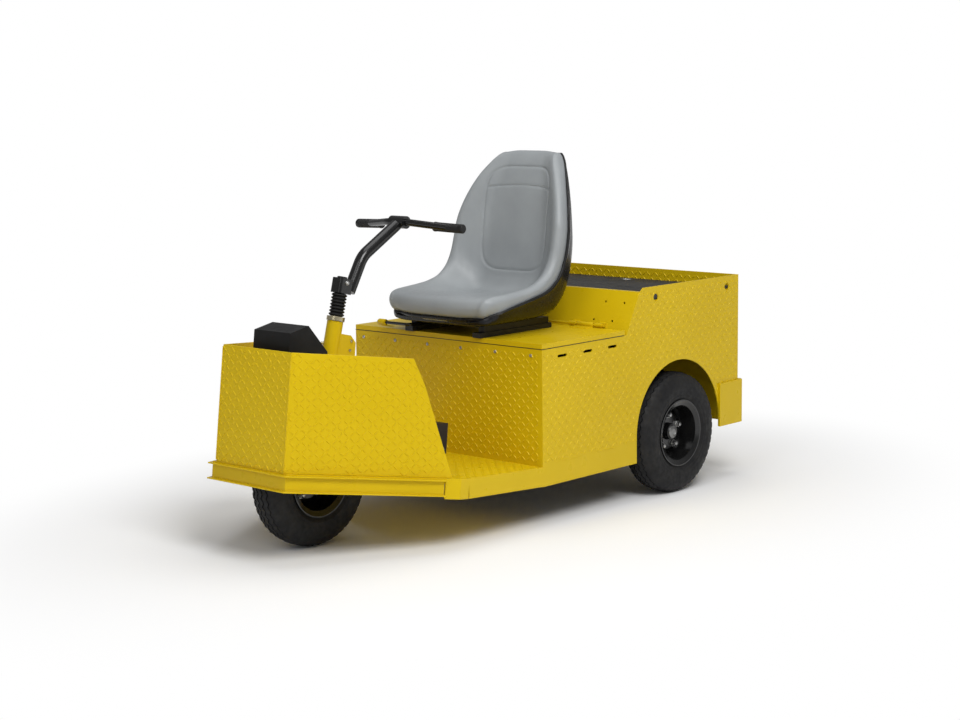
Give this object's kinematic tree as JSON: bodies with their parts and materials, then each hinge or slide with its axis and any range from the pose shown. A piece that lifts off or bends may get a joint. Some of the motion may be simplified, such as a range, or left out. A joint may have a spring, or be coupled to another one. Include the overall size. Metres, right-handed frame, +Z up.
{
  "type": "three-wheeled electric baggage tug",
  "caption": "Electric tug with tiller steering, tread-plate nose, bucket seat on a tip-up battery lid and a shallow cargo deck over the rear axle.",
  "frame": {"origin": "middle of the footprint box, on the ground under the tyres", "axes": "-Y is forward, +X is the vehicle's left, +Z is up"},
  "size_m": [0.886, 2.0546, 1.167],
  "materials": {
    "yellow_paint": "gloss paint over raised tread plate",
    "black_paint": "satin powder coat",
    "tyre_rubber": "matte",
    "soft_rubber": "matte",
    "bare_steel": "zinc plated",
    "black_plastic": "moulded",
    "grey_casting": "painted casting",
    "grey_vinyl": "grained vinyl"
  },
  "bodies": {
    "chassis": {"chassis_frame": "black_paint", "floor_pan": "yellow_paint", "nose_channel": "yellow_paint", "nose_front_plate": "yellow_paint", "nose_side_plate_left": "yellow_paint", "nose_side_plate_right": "yellow_paint", "toe_board": "yellow_paint", "nose_deck": "yellow_paint", "control_box": "black_paint", "foot_pedals": "black_paint", "riser_panel": "yellow_paint", "side_panel_left": "yellow_paint", "side_panel_right": "yellow_paint", "cargo_front_panel": "yellow_paint", "cargo_rear_panel": "yellow_paint", "cargo_deck": "yellow_paint", "deck_mat": "soft_rubber", "rear_bumper": "yellow_paint", "tow_hitch": "bare_steel", "battery_pack": "black_plastic", "rear_axle": "black_paint", "drive_motor": "grey_casting", "rear_springs": "bare_steel", "trailing_arms": "black_paint", "steering_head": "yellow_paint", "lid_hinge": "bare_steel"},
    "steering": {"steering_fork": "black_paint", "front_axle": "bare_steel", "lock_collar": "bare_steel", "tiller_boot": "soft_rubber", "tiller_arm": "black_paint", "handlebar": "black_paint", "hand_grips": "soft_rubber"},
    "front_wheel": {"front_tyre": "tyre_rubber", "front_rim": "black_paint"},
    "rear_left_wheel": {"rear_left_tyre": "tyre_rubber", "rear_left_rim": "black_paint"},
    "rear_right_wheel": {"rear_right_tyre": "tyre_rubber", "rear_right_rim": "black_paint"},
    "seat_deck": {"seat_lid": "yellow_paint", "seat_rails": "black_paint", "seat_lever": "bare_steel", "seat_shell": "black_plastic", "seat_cushion": "grey_vinyl", "seat_backrest": "grey_vinyl"}
  },
  "joints": [
    {"name": "steering_turn", "type": "hinge", "parent": "chassis", "child": "steering", "pos_m": [0, -0.76467, 0.206], "axis": [0, 0.2504, 0.9681], "range_deg": [-45, 45]},
    {"name": "front_wheel_spin", "type": "hinge", "parent": "steering", "child": "front_wheel", "pos_m": [0, -0.76467, 0.206], "axis": [1, 0, 0], "continuous": true},
    {"name": "rear_left_wheel_spin", "type": "hinge", "parent": "chassis", "child": "rear_left_wheel", "pos_m": [0.384, 0.54733, 0.206], "axis": [1, 0, 0], "continuous": true},
    {"name": "rear_right_wheel_spin", "type": "hinge", "parent": "chassis", "child": "rear_right_wheel", "pos_m": [-0.384, 0.54733, 0.206], "axis": [1, 0, 0], "continuous": true},
    {"name": "seat_deck_lift", "type": "hinge", "parent": "chassis", "child": "seat_deck", "pos_m": [0, 0.26533, 0.593], "axis": [-1, 0, 0], "range_deg": [0, 38]}
  ]
}
